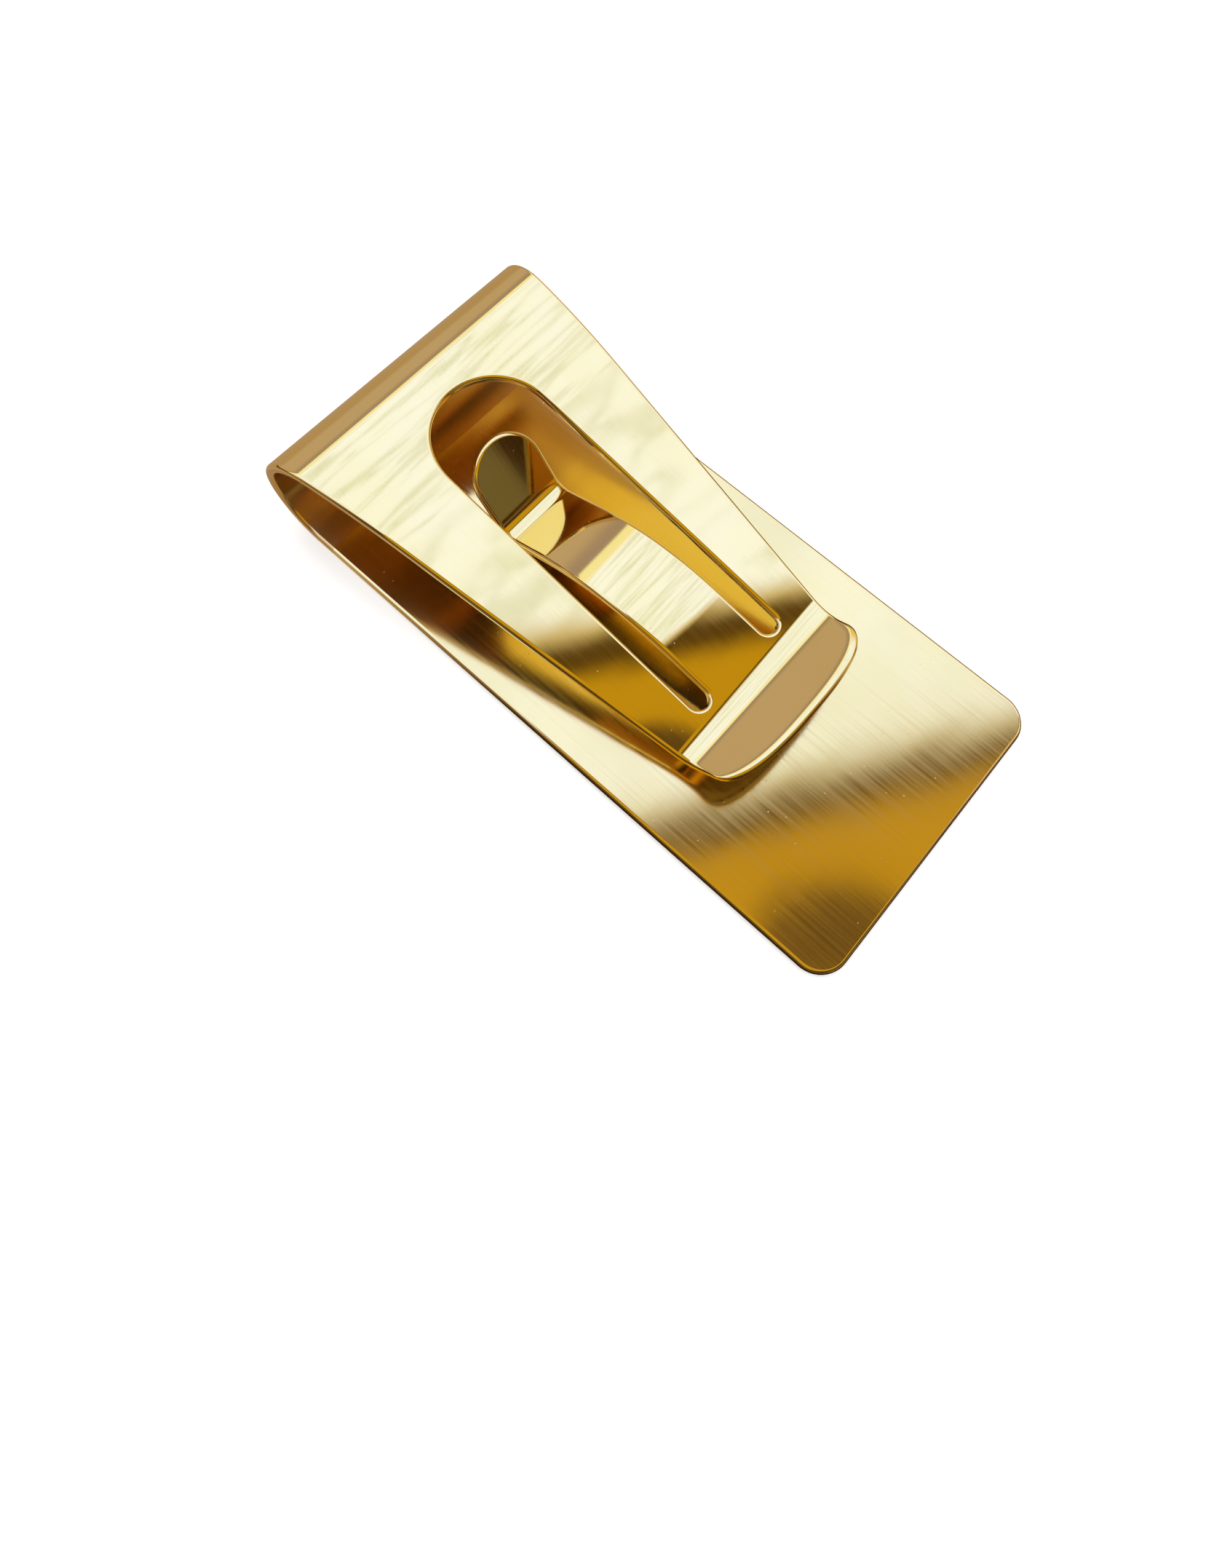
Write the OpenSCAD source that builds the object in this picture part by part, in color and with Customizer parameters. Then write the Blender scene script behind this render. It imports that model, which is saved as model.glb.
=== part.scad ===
// Spring money clip, one strip of sheet bent and stamped.
// X runs along the clip with the fold at -X, Y across it, +Z up. The origin is the middle of the
// resting face. Side profiles are drawn in X and Z and extruded across Y.

/* [Sheet] */
// Thickness of the sheet
sheet_t = 0.8; // [0.6:0.1:1]
// Overall length, fold to open end
clip_len = 52.5; // [48:0.5:60]
// Width of the back plate
clip_w = 25; // [24:0.5:30]
// Overall height of the fold
fold_h = 8.7; // [8.5:0.1:10]
// Corner radius at the open end of the back plate
plate_corner_r = 2.2; // [1:0.1:5]

/* [Front leaf] */
// Width of the leaf where it leaves the fold
leaf_w_fold = 24; // [22:0.5:24]
// Width of the leaf at the pinch bend
leaf_w_pinch = 15.8; // [14:0.1:18]
// Radius of the gentle crown after the fold, to the middle of the sheet
crown_r = 44; // [35:1:60]
// Downward slope of the leaf, in degrees
leaf_slope = 11.5; // [10:0.5:12]
// Distance from the fold to the start of the pinch bend
pinch_x = 35.2; // [34:0.1:37]
// Radius of the pinch bend, to the middle of the sheet
pinch_r = 3.3; // [3:0.1:5]

/* [Lip] */
// Upward slope of the lip, in degrees
lip_slope = 33; // [25:1:40]
// Distance from the fold to the lip's free edge
lip_x = 40.6; // [40:0.1:42]
// Corner radius of the lip
lip_corner_r = 3.5; // [2:0.5:4]
// Radius of the lip's gently bowed free edge
lip_bow_r = 40; // [30:5:80]

/* [Window] */
// Width of the window
window_w = 9.3; // [8.5:0.1:10]
// Distance from the fold to the centre of the window's round end
window_x = 11.4; // [11:0.1:13]
// Distance from the fold to the ends of the two slots beside the tongue
slot_end_x = 34.7; // [33.5:0.1:34.9]

/* [Tongue] */
// Width of the spring tongue
tongue_w = 6.1; // [5:0.1:6.5]
// Length that follows the leaf, from the pinch bend
tongue_run = 5; // [4.5:0.1:5.5]
// Radius of the crest, to the middle of the sheet
crest_r = 19; // [17:1:21]
// Downward slope between the crest and the trough, in degrees
tongue_slope = 24; // [22:0.5:24.5]
// Length of the straight stretch between the crest and the trough
tongue_fall = 2.9; // [2.5:0.1:3]
// Radius of the trough, to the middle of the sheet
trough_r = 1.8; // [1.5:0.1:2.2]
// Upward slope of the turned-up tip, in degrees
tip_slope = 50; // [40:1:60]
// Length of the turned-up tip
tip_len = 5.7; // [5:0.1:6]

/* [Flex lines] */
// Gap left in the sheet where one piece bends against the next
flex_gap = 0.12; // [0.1:0.02:0.16]

/* [Hidden] */
$fn = 96;
half_t = sheet_t / 2;
fold_r = fold_h / 2;                   // outer radius of the fold
end_x = -clip_len / 2;                 // the fold's outermost line
fold_x = end_x + fold_r;               // axis of the fold
slot_w = (window_w - tongue_w) / 2;    // width of each slot beside the tongue
root_x = slot_end_x - slot_w / 2;      // where the tongue flexes on the pinch bar
tall = 3 * fold_h;                     // height of the upright cutters
wide = 2 * clip_w;                     // width of an extrusion before it is cut to outline

// A path is a list of steps: [length, 0] goes straight and [radius, angle] turns, left if positive.
function turned(path, i) = i < 0 ? 0 : path[i][1] + turned(path, i - 1);
function step_x(s, dir) = s[1] == 0
  ? s[0] * cos(dir)
  : s[0] * sign(s[1]) * (sin(dir + s[1]) - sin(dir));
function step_z(s, dir) = s[1] == 0
  ? s[0] * sin(dir)
  : -s[0] * sign(s[1]) * (cos(dir + s[1]) - cos(dir));
function path_x(path, dir, n) = n == 0
  ? 0
  : path_x(path, dir, n - 1) + step_x(path[n - 1], dir + turned(path, n - 2));
function path_z(path, dir, n) = n == 0
  ? 0
  : path_z(path, dir, n - 1) + step_z(path[n - 1], dir + turned(path, n - 2));

// Fold path, from the back plate round to the top
fold_start = [fold_x, half_t];
fold_path = [
  [fold_r - half_t, -90],
  [fold_r - half_t, -90],
];

// Leaf path, from the top of the fold to the lip's free edge
leaf_start = [fold_x, fold_h - half_t];
leaf_run = (pinch_x - fold_r - crown_r * sin(leaf_slope)) / cos(leaf_slope);
pinch_run_x = pinch_r * (sin(leaf_slope) + sin(lip_slope));
lip_run = (lip_x - pinch_x - pinch_run_x) / cos(lip_slope);
leaf_path = [
  [crown_r, -leaf_slope],
  [leaf_run, 0],
  [pinch_r, leaf_slope + lip_slope],
  [lip_run, 0],
];

lip_start = [
  leaf_start[0] + path_x(leaf_path, 0, 3),
  leaf_start[1] + path_z(leaf_path, 0, 3),
];

// Tongue path, from the start of the pinch bend back towards the fold
tongue_dir = 180 - leaf_slope;
tongue_start = [
  leaf_start[0] + path_x(leaf_path, 0, 2),
  leaf_start[1] + path_z(leaf_path, 0, 2),
];
tongue_path = [
  [tongue_run, 0],
  [crest_r, leaf_slope + tongue_slope],
  [tongue_fall, 0],
  [trough_r, -tongue_slope - tip_slope],
];
tip_start = [
  tongue_start[0] + path_x(tongue_path, tongue_dir, 4),
  tongue_start[1] + path_z(tongue_path, tongue_dir, 4),
];

// Point beside the start of step n of the tongue, off to the left of its middle line
function path_point(n, off) = tongue_start + [
  path_x(tongue_path, tongue_dir, n) - off * sin(tongue_dir + turned(tongue_path, n - 1)),
  path_z(tongue_path, tongue_dir, n) + off * cos(tongue_dir + turned(tongue_path, n - 1)),
];

// Point beside the crest at a fraction of its turn, off to the left of its middle line
function crest_point(part, off) =
  let (a = tongue_dir + part * (leaf_slope + tongue_slope))
  tongue_start + [
    path_x(tongue_path, tongue_dir, 1) + crest_r * (sin(a) - sin(tongue_dir)) - off * sin(a),
    path_z(tongue_path, tongue_dir, 1) - crest_r * (cos(a) - cos(tongue_dir)) + off * cos(a),
  ];

// Half-width of the leaf at distance x from the fold
function leaf_half_w(x) =
  leaf_w_fold / 2 - (leaf_w_fold - leaf_w_pinch) / 2 * (x - fold_r) / (pinch_x - fold_r);

// Distance from the fold at which the taper reaches the full width of the clip
taper_x = fold_r
  - (clip_w - leaf_w_fold) / (leaf_w_fold - leaf_w_pinch) * (pinch_x - fold_r);

// Section of a straight stretch of sheet that starts at the origin along +X
module straight_section(run) {
  translate([0, -half_t])
    square([run, sheet_t]);
}

// Section of a bend to the left that starts at the origin along +X
module bend_section(r, a) {
  far = 3 * r;
  translate([0, r])
    intersection() {
      difference() {
        circle(r = r + half_t);
        circle(r = r - half_t);
      }
      polygon([
        [0, 0],
        [0, -far],
        [far * tan(a / 2), -far],
        [far * sin(a), -far * cos(a)],
      ]);
    }
}

// Section of one step of a path
module step_section(s) {
  if (s[1] == 0)
    straight_section(s[0]);
  else if (s[1] > 0)
    bend_section(s[0], s[1]);
  else
    mirror([0, 1])
      bend_section(s[0], -s[1]);
}

// Section along steps first to last of a path that starts at p in direction dir
module section(path, p, dir, first, last) {
  for (i = [first:last])
    translate([p[0] + path_x(path, dir, i), p[1] + path_z(path, dir, i)])
      rotate(dir + turned(path, i - 1))
        step_section(path[i]);
}

// Extrudes a section, drawn in X and Z, into sheet that is w wide across Y
module across(w) {
  rotate([90, 0, 0])
    linear_extrude(height = w, center = true)
      children();
}

// Upright prism over a plan outline
module upright() {
  translate([0, 0, -fold_h])
    linear_extrude(height = tall)
      children();
}

// Plan outline of the leaf between two distances from the fold
module leaf_plan(x1, x2) {
  translate([end_x, 0])
    intersection() {
      polygon([
        [-1, -clip_w / 2],
        [taper_x, -clip_w / 2],
        [lip_x, -leaf_half_w(lip_x)],
        [lip_x, leaf_half_w(lip_x)],
        [taper_x, clip_w / 2],
        [-1, clip_w / 2],
      ]);
      translate([x1, -clip_w])
        square([x2 - x1, 2 * clip_w]);
    }
}

// Steps first to last of the leaf, cut to the plan outline given as a child
module leaf_piece(first, last) {
  intersection() {
    across(wide)
      section(leaf_path, leaf_start, 0, first, last);
    upright()
      children();
  }
}

// Half of the fold, above or below its outermost line
module fold_half(step) {
  low_z = step == 0 ? -1 : fold_r + flex_gap / 2;
  high_z = step == 0 ? fold_r - flex_gap / 2 : fold_h + 1;
  intersection() {
    across(wide)
      section(fold_path, fold_start, 180, step, step);
    translate([end_x - 1, -wide / 2, low_z])
      cube([fold_r + 2, wide, high_z - low_z]);
    children();
  }
}

module back_plate() {
  run = clip_len - fold_r;
  r = plate_corner_r;
  color("gold")
    linear_extrude(height = sheet_t) {
      translate([fold_x, -clip_w / 2])
        square([run - r, clip_w]);
      translate([fold_x, -clip_w / 2 + r])
        square([run, clip_w - 2 * r]);
      for (side = [-1, 1])
        translate([clip_len / 2 - r, side * (clip_w / 2 - r)])
          circle(r = r);
    }
}

module fold_lower() {
  color("peru")
    fold_half(0)
      cube([2 * clip_len, clip_w, tall], center = true);
}

module fold_upper() {
  color("peru")
    fold_half(1)
      upright()
        leaf_plan(-1, fold_r + 1);
}

module leaf_shoulder() {
  color("khaki")
    leaf_piece(0, 0)
      difference() {
        leaf_plan(-1, window_x);
        translate([end_x + window_x, 0])
          circle(d = window_w);
      }
}

// One side of the leaf beside the window
module rail(side) {
  color("goldenrod")
    leaf_piece(0, 1)
      intersection() {
        leaf_plan(window_x, root_x);
        translate([end_x, side * (window_w + clip_w) / 2])
          square([2 * clip_len, clip_w], center = true);
      }
}

module rail_left() {
  rail(1);
}

module rail_right() {
  rail(-1);
}

module pinch_bar() {
  color("lightyellow") {
    leaf_piece(1, 1)
      difference() {
        leaf_plan(root_x, lip_x);
        for (side = [-1, 1])
          translate([end_x + root_x, side * (tongue_w + slot_w) / 2])
            circle(d = slot_w);
      }
    leaf_piece(2, 2)
      leaf_plan(root_x, lip_x);
  }
}

module lip() {
  root_half_w = leaf_half_w(lip_x - lip_run * cos(lip_slope));
  end_half_w = leaf_half_w(lip_x);
  corner_x = lip_run - lip_corner_r;
  corner_y = end_half_w - lip_corner_r;
  color("tan")
    translate([lip_start[0], 0, lip_start[1]])
      rotate([0, -lip_slope, 0])
        translate([0, 0, -half_t])
          linear_extrude(height = sheet_t)
            intersection() {
              polygon([
                [0, -root_half_w],
                [lip_run, -end_half_w],
                [lip_run, end_half_w],
                [0, root_half_w],
              ]);
              translate([lip_run - lip_bow_r, 0])
                circle(r = lip_bow_r);
              union() {
                translate([-1, -clip_w])
                  square([corner_x + 1, 2 * clip_w]);
                translate([corner_x - 1, -corner_y])
                  square([lip_corner_r + 2, 2 * corner_y]);
                for (side = [-1, 1])
                  translate([corner_x, side * corner_y])
                    circle(r = lip_corner_r);
              }
            }
}

module tongue_arm() {
  crest_parts = 12;
  near_face = [for (k = [0:crest_parts]) crest_point(k / crest_parts, -half_t)];
  far_face = [for (k = [crest_parts:-1:0]) crest_point(k / crest_parts, half_t)];
  color("darkgoldenrod")
    across(tongue_w)
      intersection() {
        polygon(concat(
          [path_point(0, -half_t)],
          near_face,
          [path_point(3, -half_t), path_point(3, half_t)],
          far_face,
          [path_point(0, half_t)]
        ));
        translate([end_x, 0])
          square([root_x - flex_gap, fold_h]);
      }
}

module tongue_trough() {
  color("darkkhaki")
    across(tongue_w)
      section(tongue_path, tongue_start, tongue_dir, 3, 3);
}

module tongue_tip() {
  round_r = tongue_w / 2;
  color("olive")
    translate([tip_start[0], 0, tip_start[1]])
      rotate([0, -(180 - tip_slope), 0])
        translate([0, 0, -half_t])
          linear_extrude(height = sheet_t)
            intersection() {
              translate([0, -round_r])
                square([tip_len + 1, tongue_w]);
              union() {
                translate([0, -round_r])
                  square([tip_len - round_r, tongue_w]);
                translate([tip_len - round_r, 0])
                  circle(r = round_r);
              }
            }
}

back_plate();
fold_lower();
fold_upper();
leaf_shoulder();
rail_left();
rail_right();
pinch_bar();
lip();
tongue_arm();
tongue_trough();
tongue_tip();
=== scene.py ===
"""Looks of the money clip: one polished gold sheet, laid out flat, rounded at its edges and bent."""

import math

import bmesh
import bpy
from mathutils import Matrix, Vector


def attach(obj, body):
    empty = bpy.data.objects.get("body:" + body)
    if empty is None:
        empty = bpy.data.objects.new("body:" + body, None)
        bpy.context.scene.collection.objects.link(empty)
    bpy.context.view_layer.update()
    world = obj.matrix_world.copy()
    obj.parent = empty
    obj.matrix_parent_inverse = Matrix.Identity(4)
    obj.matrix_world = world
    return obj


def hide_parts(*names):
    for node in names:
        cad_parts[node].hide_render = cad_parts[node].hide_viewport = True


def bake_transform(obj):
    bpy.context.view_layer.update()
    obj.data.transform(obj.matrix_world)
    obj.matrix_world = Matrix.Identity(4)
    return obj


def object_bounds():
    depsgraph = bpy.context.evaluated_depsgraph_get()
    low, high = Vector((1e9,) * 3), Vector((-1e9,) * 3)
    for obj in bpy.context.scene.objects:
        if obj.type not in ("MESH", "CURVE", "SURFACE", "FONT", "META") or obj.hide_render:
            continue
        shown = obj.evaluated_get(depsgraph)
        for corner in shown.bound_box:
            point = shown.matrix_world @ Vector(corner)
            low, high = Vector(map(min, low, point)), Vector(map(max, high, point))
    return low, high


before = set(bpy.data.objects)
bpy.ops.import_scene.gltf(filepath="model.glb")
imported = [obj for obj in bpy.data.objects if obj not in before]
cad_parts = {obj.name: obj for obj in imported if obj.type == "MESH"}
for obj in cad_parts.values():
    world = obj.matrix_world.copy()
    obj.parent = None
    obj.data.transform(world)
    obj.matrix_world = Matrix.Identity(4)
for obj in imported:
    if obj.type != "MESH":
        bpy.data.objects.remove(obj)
cad_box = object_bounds()

MM = 0.001

# ---------------------------------------------------------------- sizes, in millimetres and degrees

low, high = cad_box
CLIP_LEN = (high[0] - low[0]) / MM
CLIP_W = (high[1] - low[1]) / MM
FOLD_H = (high[2] - low[2]) / MM
END_X = low[0] / MM  # the fold's outermost line; a distance u is measured from it
SHEET_T = 0.8
HALF_T = SHEET_T / 2
FOLD_R = FOLD_H / 2
PLATE_CORNER_R = 2.2

LEAF_W_FOLD = 24
LEAF_W_PINCH = 15.8
CROWN_R = 44
LEAF_SLOPE = 11.5
PINCH_U = 35.2
PINCH_R = 3.3

LIP_SLOPE = 33
LIP_U = 40.6
LIP_CORNER_LEN = 2.6  # how far back from its free edge the lip's outline is rounded
LIP_CORNER_POWER = 2.7  # 2 would be an ellipse, and more is squarer
LIP_RIM = 1.0  # width of the rounded rim round the lip

WINDOW_W = 9.3
WINDOW_U = 11.4
SLOT_END_U = 34.7
TONGUE_W = 6.1
TONGUE_RUN = 5
CREST_R = 19
TONGUE_SLOPE = 24
TONGUE_FALL = 2.9
TROUGH_R = 1.8
TIP_SLOPE = 50
TIP_LEN = 5.7
SLOT_W = (WINDOW_W - TONGUE_W) / 2
ROOT_U = SLOT_END_U - SLOT_W / 2

EDGE_R = 0.3  # rounding of every edge of the sheet
EDGE_PARTS = 6
SIDE_PARTS = 80  # points along each side of the leaf
SIDE_CROWDING = 1.5  # over 1, those points crowd towards the fold
CORNER_PARTS = 24  # points along each rounded corner of the lip
SEAM_GAP = 1.6  # how far the fold's piece goes on past the bend at either end

SAME = 0.01  # closer than this, two points of an outline are one
CUT_SLACK = 1e-4
CUT_MERGE = 1e-5
SEARCH_SPARE = 5  # how far past the lip's edge s_at() looks
SEARCH_STEPS = 50
PLATE_CUT = 2  # the first cut across the blank, from the plate's open end
LIP_CUT = 0.6  # the last one, from the lip's free edge
TIP_CUT = 0.3  # and the last across the tongue, from its tip
UV_MM = 100  # millimetres of sheet to one unit of the map
INNER_V = 0.25  # middle of the map for the side that faces the notes
OUTER_V = 0.5  # middle of the map for the outer side

# ---------------------------------------------------------------- the sheet's side profile


class Path:
    """A line of straights (length, 0) and bends (radius, turn in degrees, left if positive)."""

    def __init__(self, start, heading, steps):
        self.marks = []
        x, z = start
        d = math.radians(heading)
        s = 0
        for size, turn in steps:
            run = size if turn == 0 else size * abs(math.radians(turn))
            self.marks.append((s, x, z, d, size, math.radians(turn)))
            x, z, d = self.along(self.marks[-1], run)
            s += run
        self.length = s
        self.starts = [m[0] for m in self.marks] + [s]

    @staticmethod
    def along(mark, run):
        _, x, z, d, size, turn = mark
        if turn == 0:
            return x + run * math.cos(d), z + run * math.sin(d), d
        side = math.copysign(1, turn)
        e = d + side * run / size
        x += size * side * (math.sin(e) - math.sin(d))
        z -= size * side * (math.cos(e) - math.cos(d))
        return x, z, e

    def at(self, s):
        """Point and heading at distance s. A straight run goes on past either end."""
        mark = self.marks[0]
        for m in self.marks:
            if s >= m[0]:
                mark = m
        return self.along(mark, s - mark[0])


leaf_angle = math.radians(LEAF_SLOPE)
lip_angle = math.radians(LIP_SLOPE)
leaf_run = (PINCH_U - FOLD_R - CROWN_R * math.sin(leaf_angle)) / math.cos(leaf_angle)
pinch_run = PINCH_R * (math.sin(leaf_angle) + math.sin(lip_angle))
lip_run = (LIP_U - PINCH_U - pinch_run) / math.cos(lip_angle)

strip = Path(
    (END_X + CLIP_LEN, HALF_T),
    180,
    [
        (CLIP_LEN - FOLD_R, 0),
        (FOLD_R - HALF_T, -180),
        (CROWN_R, -LEAF_SLOPE),
        (leaf_run, 0),
        (PINCH_R, LEAF_SLOPE + LIP_SLOPE),
        (lip_run, 0),
    ],
)
S_FOLD, S_CROWN, S_LEAF, S_PINCH, S_LIP = strip.starts[1:6]
S_END = strip.length
S_FOLD_MIDDLE = S_FOLD + (S_CROWN - S_FOLD) / 2

pinch_x, pinch_z, _ = strip.at(S_PINCH)
tongue = Path(
    (pinch_x, pinch_z),
    180 - LEAF_SLOPE,
    [
        (TONGUE_RUN, 0),
        (CREST_R, LEAF_SLOPE + TONGUE_SLOPE),
        (TONGUE_FALL, 0),
        (TROUGH_R, -TONGUE_SLOPE - TIP_SLOPE),
        (TIP_LEN, 0),
    ],
)
TIP_S = S_PINCH - tongue.length


def s_at(u):
    """Distance along the strip of the leaf's point that is u from the fold's outermost line."""
    a, b = S_FOLD_MIDDLE, S_END + SEARCH_SPARE
    for _ in range(SEARCH_STEPS):
        m = (a + b) / 2
        a, b = (m, b) if strip.at(m)[0] - END_X < u else (a, m)
    return (a + b) / 2


def half_width(u):
    """Half-width of the leaf at u from the fold."""
    slope = (LEAF_W_FOLD - LEAF_W_PINCH) / 2 / (PINCH_U - FOLD_R)
    return min(CLIP_W / 2, LEAF_W_FOLD / 2 - slope * (u - FOLD_R))


S_ROOT = s_at(ROOT_U)
S_WINDOW = s_at(WINDOW_U)
SEAM_PLATE = S_FOLD - SEAM_GAP
SEAM_LEAF = s_at(FOLD_R + SEAM_GAP)

# ---------------------------------------------------------------- outlines of the flat blank


def arc(cx, cy, r, a1, a2, step=7.5):
    """Points of an arc from angle a1 to a2, no more than step degrees apart."""
    n = max(2, math.ceil(abs(a2 - a1) / step))
    out = []
    for k in range(n + 1):
        a = math.radians(a1 + (a2 - a1) * k / n)
        out.append((cx + r * math.cos(a), cy + r * math.sin(a)))
    return out


def line(p, q, step=2.0):
    """Points of a straight line, no more than step apart."""
    n = max(1, math.ceil(math.dist(p, q) / step))
    return [(p[0] + (q[0] - p[0]) * k / n, p[1] + (q[1] - p[1]) * k / n) for k in range(n + 1)]


def without_repeats(points):
    """The closed loop without points that fall on the one before."""
    out = []
    for p in points:
        if not out or math.dist(p, out[-1]) > SAME:
            out.append(p)
    if math.dist(out[0], out[-1]) < SAME:
        out.pop()
    return out


def blank_outline():
    """Anticlockwise outline of the whole blank, open end of the plate at s = 0."""
    r = PLATE_CORNER_R
    w = CLIP_W / 2
    low_side = arc(r, -w + r, r, 180, 270)
    low_side += line((r, -w), (S_FOLD, -w))
    low_side += line((S_FOLD, -w), (S_FOLD_MIDDLE, -w), step=0.6)
    first_u = strip.at(S_FOLD_MIDDLE)[0] - END_X
    corner_u = LIP_U - LIP_CORNER_LEN
    for k in range(SIDE_PARTS + 1):
        u = first_u + (corner_u - first_u) * (k / SIDE_PARTS) ** SIDE_CROWDING
        low_side.append((s_at(u), -half_width(u)))
    corner_s = low_side[-1][0]
    corner_w = half_width(corner_u)
    power = 2 / LIP_CORNER_POWER
    for k in range(1, CORNER_PARTS + 1):
        a = math.pi / 2 * k / CORNER_PARTS
        s = corner_s + (S_END - corner_s) * math.sin(a) ** power
        low_side.append((s, -corner_w * math.cos(a) ** power))
    # the middle of the lip's edge is added once, so a point this close to it is left out
    low_side = [q for q in low_side if q[1] < -2 * SAME]
    high_side = [(s, -y) for s, y in reversed(low_side)]
    return without_repeats(low_side + [(S_END, 0)] + high_side)


def slot_outline():
    """Clockwise outline of the U-shaped slot that frees the tongue."""
    w = WINDOW_W / 2
    h = TONGUE_W / 2
    mid = (w + h) / 2
    squash = math.cos(leaf_angle / 2)
    out = line((S_ROOT, -w), (S_WINDOW, -w))
    out += [(S_WINDOW + (s - S_WINDOW) / squash, y) for s, y in arc(S_WINDOW, 0, w, 270, 90, step=5)]
    out += line((S_WINDOW, w), (S_ROOT, w))
    out += arc(S_ROOT, mid, SLOT_W / 2, 90, -90, step=10)
    out += line((S_ROOT, h), (TIP_S + h, h))
    out += arc(TIP_S + h, 0, h, 90, 270, step=5)
    out += line((TIP_S + h, -h), (S_ROOT, -h))
    out += arc(S_ROOT, -mid, SLOT_W / 2, 90, -90, step=10)
    return without_repeats(out)


# ---------------------------------------------------------------- the flat blank as a mesh


def loop_normals(points):
    """Unit normals that point out of the material, which lies to the left of the loop."""
    out = []
    for i, here in enumerate(points):
        before = points[i - 1]
        after = points[(i + 1) % len(points)]
        d1 = Vector((here[0] - before[0], here[1] - before[1])).normalized()
        d2 = Vector((after[0] - here[0], after[1] - here[1])).normalized()
        d = (d1 + d2).normalized()
        out.append((d.y, -d.x))
    return out


def rim_scale(s):
    """How much wider than elsewhere the edge is rounded over: grows to LIP_RIM past the pinch."""
    part = min(1, max(0, (s - S_LIP) / LIP_RIM))
    return 1 + (LIP_RIM / EDGE_R - 1) * part


def edge_rings(bm, layer, points):
    """Rings of vertices round an outline, from the outer face over the rounded edge to the inner."""
    normals = loop_normals(points)
    rings = []
    for face in (1, -1):
        for k in range(EDGE_PARTS + 1):
            part = k if face < 0 else EDGE_PARTS - k
            a = math.pi / 2 * part / EDGE_PARTS
            inset = EDGE_R * (1 - math.cos(a))
            rise = face * (HALF_T - EDGE_R + EDGE_R * math.sin(a))
            ring = []
            for (s, y), (nx, ny) in zip(points, normals):
                wide = rim_scale(s)
                v = bm.verts.new((s - nx * inset * wide, y - ny * inset * wide, rise))
                flat = math.cos(a) / wide
                v[layer] = Vector((nx * flat, ny * flat, face * math.sin(a))).normalized()
                ring.append(v)
            rings.append(ring)
    return rings


def build_blank():
    """The flat sheet, s along X and the outer face up, with its normals in a vertex layer."""
    bm = bmesh.new()
    layer = bm.verts.layers.float_vector.new("sheet_normal")
    rims = {1: [], -1: []}
    for points in (blank_outline(), slot_outline()):
        rings = edge_rings(bm, layer, points)
        for upper, lower in zip(rings, rings[1:]):
            for i in range(len(points)):
                j = (i + 1) % len(points)
                bm.faces.new((upper[i], lower[i], lower[j], upper[j]))
        rims[1].append(rings[0])
        rims[-1].append(rings[-1])
    for face in (1, -1):
        edges = []
        for ring in rims[face]:
            for i in range(len(ring)):
                edges.append(bm.edges.get((ring[i], ring[(i + 1) % len(ring)])))
        made = bmesh.ops.triangle_fill(bm, use_beauty=True, use_dissolve=False, edges=edges)
        for f in made["geom"]:
            if isinstance(f, bmesh.types.BMFace):
                f.normal_update()
                if f.normal.z * face < 0:
                    f.normal_flip()
    return bm


# ---------------------------------------------------------------- cuts across the blank


def spread(a, b, step):
    """Even places from a to b, no more than step apart."""
    n = max(1, math.ceil((b - a) / step))
    return [a + (b - a) * k / n for k in range(n + 1)]


def stations():
    """Where the blank is cut across so that it bends smoothly: closest where it bends most."""
    out = []
    for a, b, step in (
        (PLATE_CUT, S_FOLD, 3.0),
        (S_FOLD, S_CROWN, 0.15),
        (S_CROWN, S_LEAF, 0.4),
        (S_LEAF, S_PINCH, 1.5),
        (S_PINCH, S_LIP, 0.12),
        (S_LIP, S_END - LIP_CUT, 0.7),
    ):
        out += spread(a, b, step)
    _, crest, fall, trough, tip, end = tongue.starts
    for a, b, step in (
        (crest, fall, 0.4),
        (fall, trough, 0.7),
        (trough, tip, 0.08),
        (tip, end - TIP_CUT, 0.7),
    ):
        out += [S_PINCH - s for s in spread(a, b, step)]
    return sorted(set(round(s, 4) for s in out))


def in_tongue(s, y):
    """Whether a point of the blank is on the tongue's side of the middle of the slot."""
    reach = (TONGUE_W + SLOT_W) / 2
    tip_centre = TIP_S + TONGUE_W / 2
    if s < tip_centre:
        return math.hypot(s - tip_centre, y) < reach
    return abs(y) < reach and s < S_ROOT


def cut_blank(bm, places):
    """Cuts the faces across the blank at each place, so that the sheet can bend there."""
    to_cut = bm.faces[:]
    for s in sorted(places):
        to_cut = [f for f in to_cut if max(v.co.x for v in f.verts) > s + CUT_SLACK]
        crossing = [f for f in to_cut if min(v.co.x for v in f.verts) < s - CUT_SLACK]
        around = set(crossing)
        for f in crossing:
            around.update(f.edges)
            around.update(f.verts)
        made = bmesh.ops.bisect_plane(
            bm, geom=list(around), dist=CUT_MERGE, plane_co=(s, 0, 0), plane_no=(1, 0, 0)
        )
        to_cut += [f for f in made["geom"] if isinstance(f, bmesh.types.BMFace) and f not in around]
    bm.verts.index_update()


# ---------------------------------------------------------------- the bent pieces


def bend(s, y, h, is_tongue):
    """Where a point of the flat blank goes, and the directions of s and of the outer face there."""
    if is_tongue:
        x, z, d = tongue.at(S_PINCH - s)
        d += math.pi
    else:
        x, z, d = strip.at(s)
    run = Vector((math.cos(d), 0, math.sin(d)))
    out = Vector((-math.sin(d), 0, math.cos(d)))
    return Vector((x, y, z)) + out * h, run, out


def add_object(name, data):
    """A new object in the scene."""
    obj = bpy.data.objects.new(name, data)
    bpy.context.scene.collection.objects.link(obj)
    return obj


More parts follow.
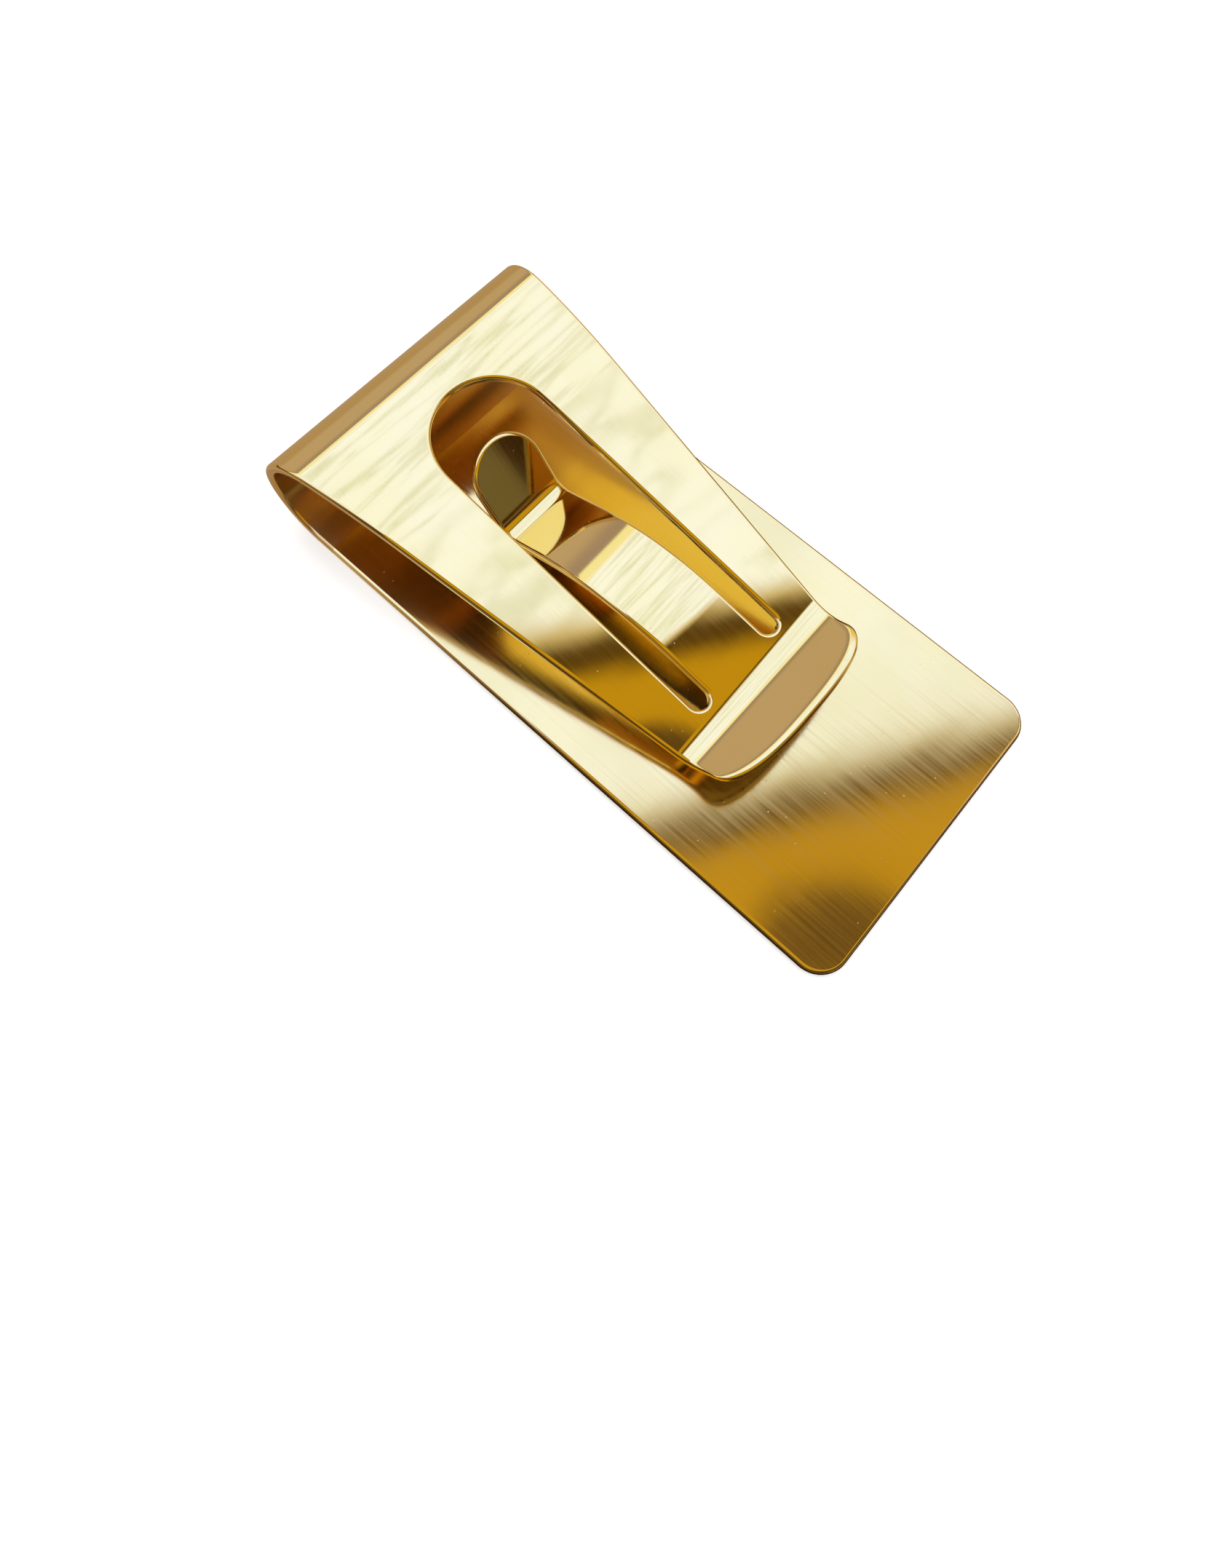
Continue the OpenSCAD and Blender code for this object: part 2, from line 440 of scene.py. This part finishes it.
def make_piece(source, name, keep, is_tongue, seams):
    """Bends the part of the blank that keep() picks, closes it at its seams and makes an object."""
    bm = source.copy()
    layer = bm.verts.layers.float_vector["sheet_normal"]
    drop = []
    for f in bm.faces:
        c = f.calc_center_median()
        if not keep(c.x, c.y):
            drop.append(f)
    bmesh.ops.delete(bm, geom=drop, context="FACES")
    uv = bm.loops.layers.uv.new("sheet")
    for f in bm.faces:
        for loop in f.loops:
            co = loop.vert.co
            loop[uv].uv = (co.x / UV_MM, co.y / UV_MM + (OUTER_V if co.z > 0 else INNER_V))
    open_edges = [e for e in bm.edges if e.is_boundary]
    edge_s = {e: sum(v.co.x for v in e.verts) / 2 for e in open_edges}
    caps = []
    for seam in seams:
        ring = [e for e in open_edges if abs(edge_s[e] - seam) < SAME]
        caps += bmesh.ops.contextual_create(bm, geom=ring)["faces"]
    normals = {}
    for v in bm.verts:
        n = v[layer].normalized()
        place, run, out = bend(v.co.x, v.co.y, v.co.z, is_tongue)
        normals[v.index] = run * n.x + Vector((0, n.y, 0)) + out * n.z
        v.co = place * MM
    for f in bm.faces:
        f.smooth = True
    bm.normal_update()
    inside = sum((v.co for v in bm.verts), Vector()) / len(bm.verts)
    for f in caps:
        for e in f.edges:
            e.smooth = False
        if f.normal.dot(f.calc_center_median() - inside) < 0:
            f.normal_flip()
    bm.normal_update()
    bm.verts.index_update()
    split = []
    for f in bm.faces:
        for loop in f.loops:
            split.append(f.normal.copy() if f in caps else normals[loop.vert.index])
    mesh = bpy.data.meshes.new(name)
    bm.to_mesh(mesh)
    bm.free()
    mesh.attributes.remove(mesh.attributes["sheet_normal"])
    mesh.normals_split_custom_set([tuple(n) for n in split])
    return add_object(name, mesh)


blank = build_blank()
cut_blank(blank, stations() + [SEAM_PLATE, SEAM_LEAF, S_ROOT])
plate = make_piece(blank, "plate", lambda s, y: s < SEAM_PLATE, False, [SEAM_PLATE])
fold = make_piece(
    blank, "fold", lambda s, y: SEAM_PLATE < s < SEAM_LEAF, False, [SEAM_PLATE, SEAM_LEAF]
)
leaf = make_piece(
    blank, "leaf", lambda s, y: s > SEAM_LEAF and not in_tongue(s, y), False, [SEAM_LEAF, S_ROOT]
)
spring = make_piece(blank, "tongue", in_tongue, True, [S_ROOT])
blank.free()

# ---------------------------------------------------------------- polished gold

GOLD = (0.985, 0.79, 0.30)
DEEP_GOLD = (0.975, 0.775, 0.27)
BRUSHED_GOLD = (0.95, 0.72, 0.26)
# painted shade: the darker gold of the inner side near the fold
FOLD_SHADE_GOLD = (0.74, 0.47, 0.17)

# how many times each pattern repeats along the sheet and across it, in one unit of the map
FINE_LINES = (6, 420, 1)
COARSE_LINES = (1.5, 60, 1)
SLOW_WAVES = (22, 9, 1)
CLOUDS = 14.0
SPECKS = 90.0

BETWEEN_V = (INNER_V + OUTER_V) / 2  # the map is split here between the sheet's two sides
SPLIT_V = 0.001
FOLD_SHADE_FULL = 3  # the inside of the fold is rougher and darkened with painted shade up to here, in mm past the fold, and polished, with no painted shade, from here on
FOLD_SHADE_NONE = 13  # and polished from here on

WAVE_STRENGTH = 0.5
WAVE_HEIGHT = 0.00004
LINE_STRENGTH = 0.22
LINE_HEIGHT = 0.00001


class Graph:
    """Adds nodes to a tree and joins them."""

    def __init__(self, tree):
        self.tree = tree

    def add(self, kind, settings=None, **inputs):
        """Adds a node. An input goes by its name, or by i and its number, and takes a value or a link."""
        node = self.tree.nodes.new(kind)
        for key, value in (settings or {}).items():
            setattr(node, key, value)
        for key, value in inputs.items():
            name = int(key[1:]) if key[0] == "i" and key[1:].isdigit() else key.replace("_", " ")
            if isinstance(value, bpy.types.NodeSocket):
                self.tree.links.new(value, node.inputs[name])
            else:
                node.inputs[name].default_value = value
        return node

    def math(self, operation, a, b=0.0, clamp=False):
        settings = {"operation": operation, "use_clamp": clamp}
        return self.add("ShaderNodeMath", settings, i0=a, i1=b).outputs[0]

    def step(self, value, low_end, high_end):
        """0 below low_end, 1 above high_end and smooth between; the ends may be the other way round."""
        settings = {"interpolation_type": "SMOOTHSTEP"}
        node = self.add("ShaderNodeMapRange", settings, Value=value, From_Min=low_end, From_Max=high_end)
        return node.outputs[0]

    def blend(self, factor, a, b):
        """Colour a where the factor is 0 and colour b where it is 1."""
        node = self.add("ShaderNodeMix", {"data_type": "RGBA"}, i0=factor)
        for index, value in ((6, a), (7, b)):
            if isinstance(value, bpy.types.NodeSocket):
                self.tree.links.new(value, node.inputs[index])
            else:
                node.inputs[index].default_value = (*value, 1)
        return node.outputs[2]

    def parts(self, vector):
        return self.add("ShaderNodeSeparateXYZ", i0=vector).outputs[:3]

    def stretch(self, vector, scale, turn=(0, 0, 0)):
        return self.add("ShaderNodeMapping", Vector=vector, Rotation=turn, Scale=scale).outputs[0]

    def noise(self, vector, scale, detail=2.0, roughness=0.5):
        node = self.add(
            "ShaderNodeTexNoise", Vector=vector, Scale=scale, Detail=detail, Roughness=roughness
        )
        return node.outputs[0]


def gold_material(name, brushed):
    """Polished plating with fine lengthwise brushing, a few specks and slow waves; the inner side near
    the fold is rougher and darkened with painted shade, less so the more it is brushed; brushed is 0 to
    1.
    """
    mat = bpy.data.materials.new(name)
    mat.use_nodes = True
    g = Graph(mat.node_tree)
    shader = mat.node_tree.nodes["Principled BSDF"]
    uv = g.add("ShaderNodeUVMap", {"uv_map": "sheet"}).outputs[0]
    fine = g.noise(g.stretch(uv, FINE_LINES), 1.0, 4.0, 0.6)
    coarse = g.noise(g.stretch(uv, COARSE_LINES), 1.0, 3.0)
    cloud = g.noise(uv, CLOUDS, 3.0)
    specks = g.add("ShaderNodeTexVoronoi", Vector=uv, Scale=SPECKS).outputs["Distance"]
    speck = g.step(specks, 0.06, 0.02)

    tint = g.blend(g.step(cloud, 0.35, 0.7), GOLD, DEEP_GOLD)
    brushed_tint = 0.12 + 0.2 * brushed
    tint = g.blend(g.math("MULTIPLY", g.step(fine, 0.55, 0.75), brushed_tint), tint, BRUSHED_GOLD)
    along_s, across_s, _ = g.parts(uv)
    inner = g.step(across_s, BETWEEN_V + SPLIT_V, BETWEEN_V - SPLIT_V)
    near_fold = g.step(along_s, (S_CROWN + FOLD_SHADE_NONE) / UV_MM, (S_CROWN + FOLD_SHADE_FULL) / UV_MM)
    # painted shade on the inner side near the fold, none where fully brushed; the same mask also makes it
    # rougher
    fold_shade_and_dull = g.math("MULTIPLY", g.math("MULTIPLY", inner, near_fold), 1.0 - brushed, clamp=True)
    tint = g.blend(fold_shade_and_dull, tint, FOLD_SHADE_GOLD)
    shader.inputs["Metallic"].default_value = 1
    g.tree.links.new(tint, shader.inputs["Base Color"])

    fine_rough = 0.05 + 0.12 * brushed
    least_rough = 0.01 + 0.03 * brushed
    speck_rough = 0.25
    dull_rough = 0.22
    rough = g.math("ADD", g.math("MULTIPLY", fine, fine_rough), least_rough)
    rough = g.math("ADD", rough, g.math("MULTIPLY", speck, speck_rough))
    rough = g.math("ADD", rough, g.math("MULTIPLY", fold_shade_and_dull, dull_rough))
    g.tree.links.new(rough, shader.inputs["Roughness"])

    fine_height = 0.05 + 0.25 * brushed
    coarse_height = 0.6
    speck_height = 0.5 * brushed
    height = g.math(
        "ADD", g.math("MULTIPLY", fine, fine_height), g.math("MULTIPLY", coarse, coarse_height)
    )
    height = g.math("ADD", height, g.math("MULTIPLY", speck, speck_height))
    waves = g.noise(g.stretch(uv, SLOW_WAVES), 1.0, 1.0)
    wavy = g.add(
        "ShaderNodeBump", Strength=WAVE_STRENGTH, Distance=WAVE_HEIGHT, Height=waves
    ).outputs[0]
    bump = g.add(
        "ShaderNodeBump", Strength=LINE_STRENGTH, Distance=LINE_HEIGHT, Height=height, Normal=wavy
    )
    g.tree.links.new(bump.outputs[0], shader.inputs["Normal"])
    return mat


brushed_gold = gold_material("brushed_gold", 1.0)
mirror_gold = gold_material("mirror_gold", 0.25)
plate.data.materials.append(brushed_gold)
for piece in (fold, leaf, spring):
    piece.data.materials.append(mirror_gold)

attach(plate, "back")
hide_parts("back_plate")
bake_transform(fold)
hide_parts("fold_lower", "fold_upper")
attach(leaf, "leaf")
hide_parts("leaf_shoulder", "rail_left", "rail_right", "pinch_bar", "lip")
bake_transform(spring)
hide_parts("tongue_arm", "tongue_trough", "tongue_tip")

# ---------------------------------------------------------------- floor and what the metal reflects

WHITE = (1.0, 1.19, 2.35)
PALE = (0.78, 0.92, 1.45)
YELLOW = (0.95, 0.98, 0.95)
GREY = (0.36, 0.29, 0.38)
TAN = (0.50, 0.40, 0.40)
BAND = (0.44, 0.32, 0.23)
BROWN = (0.30, 0.15, 0.04)
DARK = (0.035, 0.016, 0.005)
OLIVE = (0.15, 0.12, 0.07)
GOLDEN = (0.53, 0.315, 0.012)
HALO = (0.62, 0.52, 0.34)
FRINGE = (0.095, 0.052, 0.008)
SHADE = (0.11, 0.06, 0.018)
HORIZON = (0.80, 0.64, 0.34)
BOUNCE_KEEP = 0.93  # how much of the light from the sky is left after each bounce between metal
ROOM_STRENGTH = 1.5  # of the plain white light that matt surfaces get

WARM_X = 0.78  # the sky's warm side lies this way along X,
WARM_Y = 0.63  # and this much against Y
STREAKS = (22, 6, 6)
STREAKS_TURN = (0, 0, 0.5)

FLOOR_SHADE = 0.95
FLOOR_ROUGH = 0.9
FLOOR_HALF = 1000

CARD_HEIGHT = 85
CARD_OUTLINE = [(-20, -150), (88, -150), (88, 120), (-20, 120)]
CARD_EDGE_FROM = (7, 11)  # the card fades in to the right of the line from here
CARD_EDGE_TO = (27, 42)
FRINGE_W = 4.2
PATCH_X = 34.5
PATCH_Y = 12
PATCH_LEN = 12  # half-length of the patch, along the diagonal
PATCH_W = 8  # half-width


def studio_surface(name, outline, height):
    """A flat surface of the studio, from its (x, y) outline."""
    mesh = bpy.data.meshes.new(name)
    corners = [(x * MM, y * MM, height * MM) for x, y in outline]
    mesh.from_pydata(corners, [], [tuple(range(len(corners)))])
    obj = add_object(name, mesh)
    return obj


def build_floor():
    """White to the camera and to matt surfaces; polished metal sees it dark, and warm under the card."""
    half = FLOOR_HALF
    floor = studio_surface("floor", [(-half, -half), (half, -half), (half, half), (-half, half)], 0)
    mat = bpy.data.materials.new("floor_white")
    mat.use_nodes = True
    g = Graph(mat.node_tree)
    shader = mat.node_tree.nodes["Principled BSDF"]
    shader.inputs["Base Color"].default_value = (FLOOR_SHADE, FLOOR_SHADE, FLOOR_SHADE, 1)
    shader.inputs["Roughness"].default_value = FLOOR_ROUGH
    x, y, _ = g.parts(g.add("ShaderNodeNewGeometry").outputs["Position"])
    lit = g.math("MULTIPLY", g.step(x, 0.0, -0.02), g.step(y, -0.05, -0.02))
    color = g.blend(lit, DARK, BAND)
    warm = g.add("ShaderNodeEmission", Color=color, Strength=1.0).outputs[0]
    ray = g.add("ShaderNodeLightPath").outputs["Is Glossy Ray"]
    mixed = g.add("ShaderNodeMixShader", i0=ray, i1=shader.outputs[0], i2=warm).outputs[0]
    g.tree.links.new(mixed, mat.node_tree.nodes["Material Output"].inputs["Surface"])
    floor.data.materials.append(mat)


def build_reflector():
    """A warm card that only polished metal sees, with a brown fringe and one brown patch."""
    card = studio_surface("warm_reflector", CARD_OUTLINE, CARD_HEIGHT)
    card.visible_camera = False
    card.visible_diffuse = False
    card.visible_shadow = False
    mat = bpy.data.materials.new("warm_reflector")
    mat.use_nodes = True
    g = Graph(mat.node_tree)
    position = g.add("ShaderNodeNewGeometry").outputs["Position"]
    in_mm = g.add("ShaderNodeVectorMath", {"operation": "SCALE"}, i0=position, Scale=1 / MM)
    x, y, _ = g.parts(in_mm.outputs[0])

    along = (Vector(CARD_EDGE_TO) - Vector(CARD_EDGE_FROM)).normalized()
    across = g.math("MULTIPLY", g.math("SUBTRACT", x, CARD_EDGE_FROM[0]), along.y)
    shift = g.math("MULTIPLY", g.math("SUBTRACT", y, CARD_EDGE_FROM[1]), along.x)
    across = g.math("SUBTRACT", across, shift)
    dx = g.math("SUBTRACT", x, PATCH_X)
    dy = g.math("SUBTRACT", y, PATCH_Y)
    diagonal = math.sqrt(0.5)
    long_way = g.math("MULTIPLY", g.math("ADD", dx, dy), diagonal / PATCH_LEN)
    short_way = g.math("MULTIPLY", g.math("SUBTRACT", dx, dy), diagonal / PATCH_W)
    long_square = g.math("MULTIPLY", long_way, long_way)
    short_square = g.math("MULTIPLY", short_way, short_way)
    away = g.math("SQRT", g.math("ADD", long_square, short_square))

    color = g.blend(g.step(across, -0.4 * FRINGE_W, 0.5 * FRINGE_W), HALO, FRINGE)
    color = g.blend(g.step(across, 0.8 * FRINGE_W, 1.9 * FRINGE_W), color, GOLDEN)
    color = g.blend(g.step(away, 1.2, 0.75), color, SHADE)
    glow = g.add("ShaderNodeEmission", Color=color, Strength=1.0).outputs[0]
    clear = g.add("ShaderNodeBsdfTransparent").outputs[0]
    seen = g.step(across, -1.1 * FRINGE_W, 0.0)
    mixed = g.add("ShaderNodeMixShader", i0=seen, i1=clear, i2=glow).outputs[0]
    g.tree.links.new(mixed, mat.node_tree.nodes["Material Output"].inputs["Surface"])
    card.data.materials.append(mat)


def build_sky():
    """Plain white light, in place of which polished metal sees a sky that changes with direction."""
    world = bpy.data.worlds.new("studio")
    world.use_nodes = True
    bpy.context.scene.world = world
    g = Graph(world.node_tree)
    way = g.add("ShaderNodeTexCoord").outputs["Generated"]
    x, y, z = g.parts(way)
    warm_side = g.math("SUBTRACT", g.math("MULTIPLY", x, WARM_X), g.math("MULTIPLY", y, WARM_Y))
    stretched = g.stretch(way, STREAKS, STREAKS_TURN)
    level = g.math("ABSOLUTE", g.math("SUBTRACT", g.noise(stretched, 1.0, 3.0, 0.6), 0.5))
    sky = g.blend(g.step(level, 0.05, 0.005), WHITE, PALE)

    # each zone is painted over those before it: towards what, from where, fully from where, colour
    for towards, begins, full, color in (
        (z, 0.62, 0.35, HORIZON),
        (warm_side, 0.10, 0.34, BROWN),
        (warm_side, 0.36, 0.44, DARK),
    ):
        sky = g.blend(g.step(towards, begins, full), sky, color)
    olive_part = g.math("MULTIPLY", g.step(x, 0.86, 0.88), g.step(y, 0.355, 0.345))
    sky = g.blend(olive_part, sky, OLIVE)
    for towards, begins, full, color in (
        (x, -0.58, -0.61, YELLOW),
        (x, -0.65, -0.67, GREY),
        (x, -0.70, -0.80, TAN),
        (z, 0.20, 0.0, BAND),
    ):
        sky = g.blend(g.step(towards, begins, full), sky, color)

    light_path = g.add("ShaderNodeLightPath")
    bounces = g.math("SUBTRACT", light_path.outputs["Glossy Depth"], 1.0)
    kept = g.math("POWER", BOUNCE_KEEP, bounces)
    background = world.node_tree.nodes["Background"]
    g.tree.links.new(sky, background.inputs["Color"])
    g.tree.links.new(kept, background.inputs["Strength"])
    plain = g.add("ShaderNodeBackground", Color=(1, 1, 1, 1), Strength=ROOM_STRENGTH).outputs[0]
    ray = light_path.outputs["Is Glossy Ray"]
    mixed = g.add("ShaderNodeMixShader", i0=ray, i1=plain, i2=background.outputs[0]).outputs[0]
    g.tree.links.new(mixed, world.node_tree.nodes["World Output"].inputs["Surface"])


build_floor()
build_reflector()
build_sky()

# ---------------------------------------------------------------- camera, in metres

CAMERA_AT = (0.01657, -0.02811, 0.07419)
CAMERA_RIGHT = (0.7465, 0.6638, 0.0456)
CAMERA_AHEAD = (-0.227, 0.3186, -0.9203)
SENSOR_H = 36
LENS = 24.91
SHIFT_Y = -0.1054
CLIP_START = 0.001

ahead = Vector(CAMERA_AHEAD).normalized()
right = Vector(CAMERA_RIGHT)
right = (right - ahead * right.dot(ahead)).normalized()
placement = Matrix((right, right.cross(ahead), -ahead)).transposed().to_4x4()
placement.translation = CAMERA_AT
camera_data = bpy.data.cameras.new("camera")
camera_data.sensor_fit = "VERTICAL"
camera_data.sensor_height = SENSOR_H
camera_data.lens = LENS
camera_data.shift_y = SHIFT_Y
camera_data.clip_start = CLIP_START
camera = add_object("camera", camera_data)
camera.matrix_world = placement
bpy.context.scene.camera = camera
bpy.context.scene.view_settings.view_transform = "Standard"
